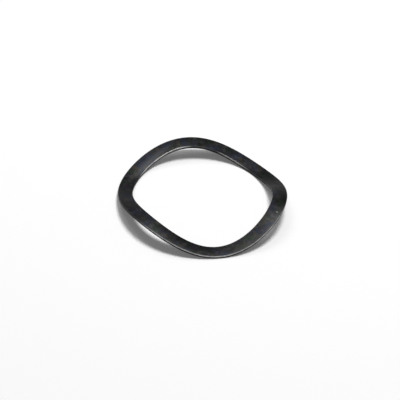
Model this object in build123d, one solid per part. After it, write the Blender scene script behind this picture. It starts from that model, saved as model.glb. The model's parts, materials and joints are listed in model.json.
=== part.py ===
from build123d import *
import math
import os

# Three-wave spring washer: one flat ring blanked from spring-steel strip, its edges
# tumbled round, then pressed into waves, hardened and blackened.
# Frame: +Z is the ring's axis, and the origin lies on it, in the plane of a flat
# surface that the washer rests on.  Lengths are in millimetres.

# The blanked ring
outer_diameter = 39.2  # drops loosely into the 40 mm seat of a ball bearing
bore_diameter = 32.3
sheet_thickness = 0.7
edge_radius = 0.12  # on both faces, round the outer edge and round the bore

# The pressed waves.  Every straight line drawn across the rim from the axis is level.
wave_count = 3
mean_wave_rise = 3.72  # trough to crest, measured on the middle of the sheet
wave_rise_spread = 0.87  # the waves rise this much more on the high side, and less opposite
high_side = math.radians(-61)
first_crest = math.radians(-14)
wave_crowding = math.radians(14)  # how far the waves run ahead on one side and lag opposite
crowded_side = math.radians(-167)

# How finely the surfaces are drawn
patches_per_wave = 8  # the ring is made patch by patch, each with its own walls
points_per_patch = 6  # along each wavy line
trim_allowance = 0.5  # the pressed sheet is drawn this much too wide, then cut to the two diameters

outer_radius = outer_diameter / 2
bore_radius = bore_diameter / 2
patch_count = wave_count * patches_per_wave
patch_angle = 2 * math.pi / patch_count


def wave_height(angle):
    """Height of the sheet's middle above its troughs, at this angle round the axis."""
    rise = mean_wave_rise + wave_rise_spread * math.cos(angle - high_side)
    phase = wave_count * (angle - first_crest) + wave_crowding * math.cos(angle - crowded_side)
    return rise * (1 + math.cos(phase)) / 2


def wave_slope(angle, radius):
    """Climb of the sheet along its rim at this radius, in mm for each mm round the axis."""
    step = 1e-4
    return (wave_height(angle + step) - wave_height(angle - step)) / (2 * step * radius)


def wavy_line(radius, side):
    """The closed line where one face of the sheet (1 upper, -1 lower) meets this radius."""
    points = []
    for index in range(patch_count * points_per_patch):
        angle = index * patch_angle / points_per_patch
        # the thickness is square to the sheet, so it is taller where the sheet climbs
        half_height = sheet_thickness / 2 * math.hypot(1, wave_slope(angle, radius))
        height = sheet_thickness / 2 + wave_height(angle) + side * half_height
        points.append((radius * math.cos(angle), radius * math.sin(angle), height))
    return Edge.make_spline(points, periodic=True)


def pressed_sheet():
    """The wavy ring of sheet, drawn a little wider than the washer on both sides."""
    wide = outer_radius + trim_allowance
    narrow = bore_radius - trim_allowance
    corners = [wavy_line(wide, 1), wavy_line(narrow, 1), wavy_line(narrow, -1), wavy_line(wide, -1)]
    faces = []
    for index, line in enumerate(corners):
        faces.append(Face.make_surface_from_curves(line, corners[index - 1]))
    return Solid(Shell(faces))


def patch_cutter(index):
    """An upright block over one patch of the rim, between the bore and the outer edge."""
    start = math.degrees(patch_angle * index)
    end = math.degrees(patch_angle * (index + 1))
    outside = Edge.make_circle(outer_radius, start_angle=start, end_angle=end)
    inside = Edge.make_circle(bore_radius, start_angle=start, end_angle=end)
    near_side = Edge.make_line(inside @ 0, outside @ 0)
    far_side = Edge.make_line(outside @ 1, inside @ 1)
    profile = Wire([outside, far_side, inside, near_side])
    height = mean_wave_rise + wave_rise_spread + 2 * sheet_thickness
    return Pos(0, 0, -sheet_thickness / 2) * Solid.extrude(Face(profile), Vector(0, 0, height))


def trimmed_ring():
    """The wavy sheet cut to its two diameters, one patch at a time, and closed up into one solid."""
    sheet = pressed_sheet()
    faces = []
    for index in range(patch_count):
        patch = sheet & patch_cutter(index)
        # the flat ends between neighbouring patches are left out
        faces += [face for face in patch.faces() if face.geom_type != GeomType.PLANE]
    return Solid(Shell(faces))


def runs_round_the_ring(edge):
    """True for the edges along the outer edge and the bore, not those across the rim or up a wall."""
    start, end = edge @ 0, edge @ 1
    same_radius = abs(math.hypot(start.X, start.Y) - math.hypot(end.X, end.Y)) < edge_radius
    return same_radius and math.hypot(end.X - start.X, end.Y - start.Y) > edge_radius


def make_washer():
    ring = trimmed_ring()
    return ring.fillet(edge_radius, ring.edges().filter_by(runs_round_the_ring))


os.makedirs("parts", exist_ok=True)
export_step(make_washer(), "parts/wave_washer.step")
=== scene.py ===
import json
import math

import bpy
from mathutils import Matrix, Vector


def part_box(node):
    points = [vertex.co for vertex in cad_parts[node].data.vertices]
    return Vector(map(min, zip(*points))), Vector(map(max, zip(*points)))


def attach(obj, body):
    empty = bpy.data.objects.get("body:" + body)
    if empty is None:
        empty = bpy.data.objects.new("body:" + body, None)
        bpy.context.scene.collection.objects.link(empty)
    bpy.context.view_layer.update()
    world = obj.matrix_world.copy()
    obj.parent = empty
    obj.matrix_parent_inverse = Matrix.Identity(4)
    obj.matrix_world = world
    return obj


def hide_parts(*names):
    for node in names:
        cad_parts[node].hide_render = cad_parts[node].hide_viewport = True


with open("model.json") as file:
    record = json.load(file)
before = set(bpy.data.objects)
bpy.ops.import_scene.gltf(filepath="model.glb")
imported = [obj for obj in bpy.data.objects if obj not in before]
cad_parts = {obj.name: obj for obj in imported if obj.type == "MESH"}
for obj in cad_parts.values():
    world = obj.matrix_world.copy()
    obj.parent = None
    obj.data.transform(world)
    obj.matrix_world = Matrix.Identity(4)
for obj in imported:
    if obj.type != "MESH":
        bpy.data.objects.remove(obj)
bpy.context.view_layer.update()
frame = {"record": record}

# The washer: a narrow ring blanked from 0.7 mm spring-steel strip, its punched edges
# tumbled, then pressed between dies into three waves.  It is all one piece, and lies
# loose on its three troughs.  Its sections are drawn level from the axis, tilted with the wave.
low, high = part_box("wave_washer")
outer_radius = (high[0] - low[0]) / 2
bore_radius = frame["record"]["mounts"][0]["dims"]["r_mm"] / 1000
sheet = 0.0007
rim = outer_radius - bore_radius
rim_middle = (outer_radius + bore_radius) / 2
wave_count = 3
mean_wave_rise = 0.00372  # trough to crest, on the middle of the sheet
wave_rise_spread = 0.00087  # the waves rise this much more on the high side, and less opposite
high_side = math.radians(-61)
first_crest = math.radians(-14)
wave_crowding = math.radians(14)  # how far the waves run ahead on one side and lag opposite
crowded_side = math.radians(-167)
stations = 120  # sections drawn round the ring
face_cuts = 7  # across each face of a section
wall_cuts = 4  # up each of its walls
rolled_corner = 0.00017  # the die drags the upper corners over
cut_corner = 0.00008  # the lower corners are only tumbled
torn_depth = 0.00003  # how far the torn lower half of the wall stands back
# the upper side falls away to the walls: further from the rim's middle than this, by this much more
edge_falls = ((0.0006, 0.000008), (0.0010, 0.000016), (0.0014, 0.000024))


def wave_height(angle):
    """Height of the sheet's middle above its troughs, at this angle round the axis."""
    rise = mean_wave_rise + wave_rise_spread * math.cos(angle - high_side)
    phase = wave_count * (angle - first_crest) + wave_crowding * math.cos(angle - crowded_side)
    return rise * (1 + math.cos(phase)) / 2


def wave_tilt(angle):
    """Tilt of the sheet along the middle of the rim."""
    step = 1e-4
    return math.atan((wave_height(angle + step) - wave_height(angle - step)) / (2 * step * rim_middle))


def select_where(piece, kind, wanted):
    """In edit mode, selects only the vertices, edges or faces whose middle passes the test."""
    bpy.ops.mesh.select_all(action="DESELECT")
    bpy.ops.mesh.select_mode(type={"vertices": "VERT", "edges": "EDGE", "polygons": "FACE"}[kind])
    bpy.ops.object.mode_set(mode="OBJECT")
    points = [vertex.co for vertex in piece.data.vertices]
    for part in getattr(piece.data, kind):
        corners = [part.index] if kind == "vertices" else part.vertices
        middle = sum((points[corner] for corner in corners), Vector()) / len(corners)
        part.select = wanted(middle)
    bpy.ops.object.mode_set(mode="EDIT")


def in_torn_band(co):
    """True for a point on the lower half of either wall of the section, above its corner."""
    from_wall = abs(abs(co.x - rim_middle) - rim / 2)
    return from_wall < rim * 0.03 and -sheet * 0.45 < co.z < -sheet * 0.02


def draw_section():
    """The outline of the rim's section, upright at angle 0: a plane stood on edge, its corners rolled."""
    bpy.ops.object.select_all(action="DESELECT")
    bpy.ops.mesh.primitive_plane_add(size=1)
    section = bpy.context.object
    bpy.ops.object.mode_set(mode="EDIT")
    bpy.ops.mesh.select_all(action="SELECT")
    bpy.ops.transform.resize(value=(rim, sheet, 1))
    bpy.ops.transform.rotate(value=math.pi / 2, orient_axis="X", center_override=(0, 0, 0))
    bpy.ops.transform.translate(value=(rim_middle, 0, 0))
    select_where(section, "vertices", lambda co: co.z > 0)
    bpy.ops.mesh.bevel(offset=rolled_corner, segments=4, affect="VERTICES")
    select_where(section, "vertices", lambda co: co.z < -sheet * 0.4)
    bpy.ops.mesh.bevel(offset=cut_corner, segments=3, affect="VERTICES")
    bpy.ops.mesh.select_all(action="SELECT")
    bpy.ops.mesh.delete(type="ONLY_FACE")
    select_where(section, "edges", lambda co: abs(co.x - rim_middle) < rim * 0.1)
    bpy.ops.mesh.subdivide(number_cuts=face_cuts)
    select_where(section, "edges", lambda co: abs(abs(co.x - rim_middle) - rim / 2) < 1e-6)
    bpy.ops.mesh.subdivide(number_cuts=wall_cuts)
    for side in (-1, 1):
        select_where(section, "vertices", lambda co: in_torn_band(co) and (co.x - rim_middle) * side > 0)
        bpy.ops.transform.translate(value=(-side * torn_depth, 0, 0))
    for beyond, fall in edge_falls:
        select_where(section, "vertices", lambda co: co.z > 0 and abs(co.x - rim_middle) > beyond)
        bpy.ops.transform.translate(value=(0, 0, -fall))
    bpy.ops.object.mode_set(mode="OBJECT")
    return section


section = draw_section()
drawn_sections = []
for station in range(stations):
    angle = 2 * math.pi * station / stations
    drawn = section.copy()
    drawn.data = section.data.copy()
    drawn.rotation_euler = (wave_tilt(angle), 0, angle)
    drawn.location = (0, 0, low[2] + sheet / 2 + wave_height(angle))
    bpy.context.scene.collection.objects.link(drawn)
    drawn_sections.append(drawn)
bpy.data.objects.remove(section)
bpy.ops.object.select_all(action="DESELECT")
for drawn in drawn_sections:
    drawn.select_set(True)
washer = drawn_sections[0]
bpy.context.view_layer.objects.active = washer
bpy.ops.object.join()
bpy.ops.object.transform_apply(location=True, rotation=True, scale=True)
bpy.ops.object.mode_set(mode="EDIT")
bpy.ops.mesh.select_all(action="SELECT")
bpy.ops.mesh.bridge_edge_loops(type="CLOSED")
bpy.ops.mesh.select_all(action="SELECT")
bpy.ops.mesh.normals_make_consistent(inside=False)
bpy.ops.object.mode_set(mode="OBJECT")
washer.name = "pressed_ring"
smooth = washer.modifiers.new("smooth", "SUBSURF")
smooth.levels = smooth.render_levels = 2
bpy.ops.object.modifier_apply(modifier="smooth")
bpy.ops.object.shade_smooth()

# where each point lies in the rim's section, in millimetres, for the wear to follow
place_in_section = washer.data.attributes.new("place_in_section", "FLOAT_VECTOR", "POINT")
for index, vertex in enumerate(washer.data.vertices):
    angle = math.atan2(vertex.co.y, vertex.co.x)
    from_middle = math.hypot(vertex.co.x, vertex.co.y) - rim_middle
    above_middle = (vertex.co.z - low[2] - sheet / 2 - wave_height(angle)) * math.cos(wave_tilt(angle))
    place_in_section.data[index].vector = (from_middle * 1000, above_middle * 1000, 0)


class Socket:
    """One socket of a finish's node tree.  Sums written with it add the Math nodes they need."""

    def __init__(self, tree, socket=None):
        self.tree = tree
        self.socket = socket

    def node(self, kind, inputs, output=0, **settings):
        """Adds any node: its settings first, then the values or links of its sockets."""
        node = self.tree.nodes.new(kind)
        for name, value in settings.items():
            setattr(node, name, value)
        for name, value in inputs.items():
            if isinstance(value, Socket):
                self.tree.links.new(value.socket, node.inputs[name])
            else:
                node.inputs[name].default_value = value
        return Socket(self.tree, node.outputs[output] if node.outputs else None)

    def math(self, operation, *values):
        return self.node("ShaderNodeMath", dict(enumerate(values)), operation=operation)

    def __add__(self, other):
        return self.math("ADD", self, other)

    def __sub__(self, other):
        return self.math("SUBTRACT", self, other)

    def __rsub__(self, other):
        return self.math("SUBTRACT", other, self)

    def __mul__(self, other):
        return self.math("MULTIPLY", self, other)

    __radd__ = __add__
    __rmul__ = __mul__

    def __abs__(self):
        return self.math("ABSOLUTE", self)

    def rising(self, start, end):
        """0 below start, 1 above end, and smooth between; falling where start is the larger."""
        ends = {"Value": self, "From Min": start, "From Max": end}
        return self.node("ShaderNodeMapRange", ends, interpolation_type="SMOOTHSTEP")

    def stretched(self, x, y, z):
        return self.node("ShaderNodeVectorMath", {0: self, 1: (x, y, z)}, operation="MULTIPLY")

    def noise(self, size, detail, roughness=0.5):
        """Clouds about this many millimetres across, from 0 to 1."""
        settings = {"Vector": self, "Scale": 1000 / size, "Detail": detail, "Roughness": roughness}
        return self.node("ShaderNodeTexNoise", settings)

    def tinted(self, other, amount):
        return self.node("ShaderNodeMix", {0: amount, 6: self, 7: other}, 2, data_type="RGBA")


material = bpy.data.materials.new("blackened spring steel")
material.use_nodes = True
material.node_tree.nodes.clear()
finish = Socket(material.node_tree)
place = finish.node("ShaderNodeTexCoord", {}, "Object")
in_section = finish.node("ShaderNodeAttribute", {}, "Vector", attribute_name="place_in_section")
from_middle = finish.node("ShaderNodeSeparateXYZ", {0: in_section}, "X")
above_middle = finish.node("ShaderNodeSeparateXYZ", {0: in_section}, "Y")
from_wall = rim * 500 - abs(from_middle)  # in from the nearer wall, in millimetres

# the blackened faces: oxide cooked on unevenly, over the strip's rolling lines
black = (0.016, 0.0165, 0.018, 1)
blue_oxide = (0.013, 0.018, 0.031, 1)
brown_oxide = (0.034, 0.026, 0.017, 1)
green_oxide = (0.014, 0.023, 0.015, 1)
purple_oxide = (0.025, 0.016, 0.027, 1)
thin_oxide = (0.060, 0.060, 0.062, 1)
# this colour also darkens the upper face further down, as painted shade
thick_oxide_and_shade = (0.007, 0.007, 0.007, 1)
clouds = place.noise(3.4, 3, 0.6)
blotches = place.stretched(1, 1.3, 1).noise(1.9, 3, 0.6)
grain = place.noise(0.32, 4, 0.7)
streaks = place.stretched(1, 14, 1).noise(2.4, 3, 0.6)
film = place.noise(1.2, 4, 0.7)
pits = place.noise(0.16, 3, 0.6).rising(0.66, 0.74)
colour = finish.node("ShaderNodeRGB", {})
colour.socket.default_value = black
colour = colour.tinted(blue_oxide, clouds.rising(0.48, 0.62))
colour = colour.tinted(brown_oxide, blotches.rising(0.53, 0.66) * 0.9)
colour = colour.tinted(green_oxide, clouds.rising(0.48, 0.36) * 0.8)
colour = colour.tinted(purple_oxide, blotches.rising(0.45, 0.33) * 0.8)
colour = colour.tinted(thin_oxide, film.rising(0.50, 0.70) * 0.55 + grain.rising(0.54, 0.72) * 0.22)
colour = colour.tinted(thick_oxide_and_shade, film.rising(0.48, 0.32) * 0.75)

# the punched walls: sheared smooth above and torn rough below, and rubbed bright where
# the ring has turned against others in the tumbler
# this colour also lightens the upper face further down, as painted sheen
worn_steel_and_sheen = (0.70, 0.70, 0.69, 1)
torn_steel = (0.008, 0.0075, 0.0075, 1)
wander = place.noise(1.3, 3, 0.6)
wall = from_wall.rising(0.15, 0.05)
sheared = (above_middle + (wander - 0.5) * 0.10).rising(0.06, 0.14)


def side_towards(degrees):
    """1 on the side of the ring that lies this way from the axis, 0 square to it."""
    angle = math.radians(degrees)
    towards = (math.cos(angle) / rim_middle, math.sin(angle) / rim_middle, 0)
    return finish.node("ShaderNodeVectorMath", {0: place, 1: towards}, "Value", operation="DOT_PRODUCT")


front = 288
back_left = 131
back_right = 67
outer_wall = from_middle.rising(0, 0.1)
rubbed_outside = outer_wall * side_towards(front).rising(0.42, 0.80)
rubbed_inside = (1 - outer_wall) * side_towards(back_left).rising(0.79, 0.87)
rubbed_far = (1 - outer_wall) * side_towards(back_right).rising(0.87, 0.90)
rubbed = rubbed_outside * 0.9 + rubbed_inside + rubbed_far * 0.55
wear = (place.noise(0.9, 4, 0.65) + (grain - 0.5) * 0.4).rising(0.36, 0.62) * 0.4 + 0.6
bright = wall * sheared * wear * (rubbed * 0.92 + 0.06)
torn = wall * (1 - sheared)

# towards the rubbed walls the blacking on the upper face is thinner; in two more places the
# upper face is painted lighter as painted sheen, and in two others darker as painted shade
sheen_left = 144
sheen_right = 322
shade_front = 262
shade_right = 19
thinned_and_sheen = from_wall.rising(1.9, 0.2) * (rubbed_outside * 0.014 + rubbed_inside * 0.008)
# painted sheen: lighter on the inner side towards 144 degrees and on the side towards 322 degrees, where
# the upper face shines most
thinned_and_sheen = thinned_and_sheen + from_middle.rising(0.8, -0.9) * side_towards(sheen_left).rising(0.87, 0.95) * 0.042
thinned_and_sheen = thinned_and_sheen + side_towards(sheen_right).rising(0.88, 0.97) * film.rising(0.35, 0.60) * 0.006
# painted shade: darker on the inner side towards 262 degrees and on the side towards 19 degrees, where
# the upper face looks dull
thickened_and_shade = from_middle.rising(0.4, -1.2) * side_towards(shade_front).rising(0.80, 0.93) * 0.6
thickened_and_shade = thickened_and_shade + side_towards(shade_right).rising(0.91, 0.98) * 0.75

# a nick knocked through the blacking on the upper face
nick_angle = math.radians(-19)
nick_radius = 0.0185  # from the axis
nick_shine = 0.2
nick_place = (nick_radius * math.cos(nick_angle), nick_radius * math.sin(nick_angle), 0)
ends = {0: place.stretched(1, 1, 0), 1: nick_place}
from_nick = finish.node("ShaderNodeVectorMath", ends, "Value", operation="DISTANCE")
nick = (from_nick * 1000 + (grain - 0.5) * 0.6).rising(0.28, 0.08) * above_middle.rising(0.2, 0.3)
bright = bright.math("MAXIMUM", bright, nick * nick_shine)

# the painted shade and painted sheen of the upper face are mixed into its colour here
colour = colour.tinted(thick_oxide_and_shade, thickened_and_shade).tinted(worn_steel_and_sheen, thinned_and_sheen)
colour = colour.tinted(torn_steel, torn).tinted(worn_steel_and_sheen, bright)
dull = 0.46 + (clouds - 0.5) * 0.40 + (film - 0.5) * 0.40 + (grain - 0.5) * 0.22 + pits * 0.15
roughness = dull + torn * 0.35 - bright * 0.12
metallic = 0.65 + bright * 0.35 - torn * 0.4
relief = grain * 0.5 + streaks * 0.35 + clouds * 0.6 - pits * 0.8 - torn * place.noise(0.14, 3) * 3
relief_depth = 0.000012
normal = finish.node("ShaderNodeBump", {"Height": relief, "Distance": relief_depth}, "Normal")
looks = {"Base Color": colour, "Roughness": roughness, "Metallic": metallic, "Normal": normal}
looks["Specular IOR Level"] = 0.3
finish.node("ShaderNodeOutputMaterial", {"Surface": finish.node("ShaderNodeBsdfPrincipled", looks)})
washer.data.materials.append(material)
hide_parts("wave_washer")
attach(washer, "root")

# The floor: a sheet of matt white card, wide enough to fill the view, with the washer
# lying on it.  It is lit white, and keeps the washer's shadow.
bpy.ops.object.select_all(action="DESELECT")
card_width = 3
bpy.ops.mesh.primitive_plane_add(size=card_width, location=(0, 0, low[2]))
floor = bpy.context.object
floor.name = "floor"
material = bpy.data.materials.new("white card")
material.use_nodes = True
material.node_tree.nodes.clear()
card = Socket(material.node_tree)
seen = card.node("ShaderNodeLightPath", {}, "Is Camera Ray")
seen = seen + card.node("ShaderNodeLightPath", {}, "Is Glossy Ray")
seen = seen + card.node("ShaderNodeLightPath", {}, "Is Transmission Ray")
looks = {"Base Color": (0.93, 0.93, 0.93, 1), "Roughness": 1.0, "Specular IOR Level": 0.0}
looks["Emission Color"] = (0.11, 0.11, 0.11, 1)
looks["Emission Strength"] = seen
card.node("ShaderNodeOutputMaterial", {"Surface": card.node("ShaderNodeBsdfPrincipled", looks)})
floor.data.materials.append(material)

# The lights: a round softbox almost overhead, a weak broad one behind on the left for
# the sheen, and a little even light from everywhere.
lamp_distance = 0.8
even_light = 0.10


def softbox(name, direction, across, power):
    """A round softbox this many metres across and this many watts, facing the washer."""
    light = bpy.data.lights.new(name, "AREA")
    light.shape = "DISK"
    light.size = across
    light.energy = power
    lamp = bpy.data.objects.new(name, light)
    lamp.location = Vector(direction).normalized() * lamp_distance
    lamp.rotation_euler = lamp.location.to_track_quat("Z", "Y").to_euler()
    bpy.context.scene.collection.objects.link(lamp)


softbox("overhead", (0.13, 0.18, 1.0), 0.26, 4.9)
softbox("back_left", (-0.30, 0.44, 0.85), 0.4, 1.0)
world = bpy.data.worlds.new("even light")
bpy.context.scene.world = world
world.use_nodes = True
world.node_tree.nodes["Background"].inputs["Color"].default_value = (1, 1, 1, 1)
world.node_tree.nodes["Background"].inputs["Strength"].default_value = even_light

# The camera: a long lens far back, looking down on the washer from the front, and
# held a few degrees out of level.
elevation = math.radians(40.7)
roll = math.radians(5.9)
distance = 60 * outer_radius
view_width = 4.737 * outer_radius
aim_left = 0.00041
aim_above = 0.00039
sensor_width = 36
forward = Vector((0, math.cos(elevation), -math.sin(elevation)))
level = Vector((1, 0, 0))
upright = level.cross(forward)
camera_up = upright * math.cos(roll) - level * math.sin(roll)
camera_right = level * math.cos(roll) + upright * math.sin(roll)
aim = Vector((0, 0, low[2] + sheet / 2)) - camera_right * aim_left + camera_up * aim_above
lens = bpy.data.cameras.new("camera")
lens.sensor_width = sensor_width
lens.lens = sensor_width * distance / view_width
lens.clip_end = 10
camera = bpy.data.objects.new("camera", lens)
turn = Matrix((camera_right, camera_up, -forward)).transposed().to_4x4()
camera.matrix_world = Matrix.Translation(aim - forward * distance) @ turn
bpy.context.scene.collection.objects.link(camera)
bpy.context.scene.camera = camera
bpy.context.scene.view_settings.view_transform = "Standard"
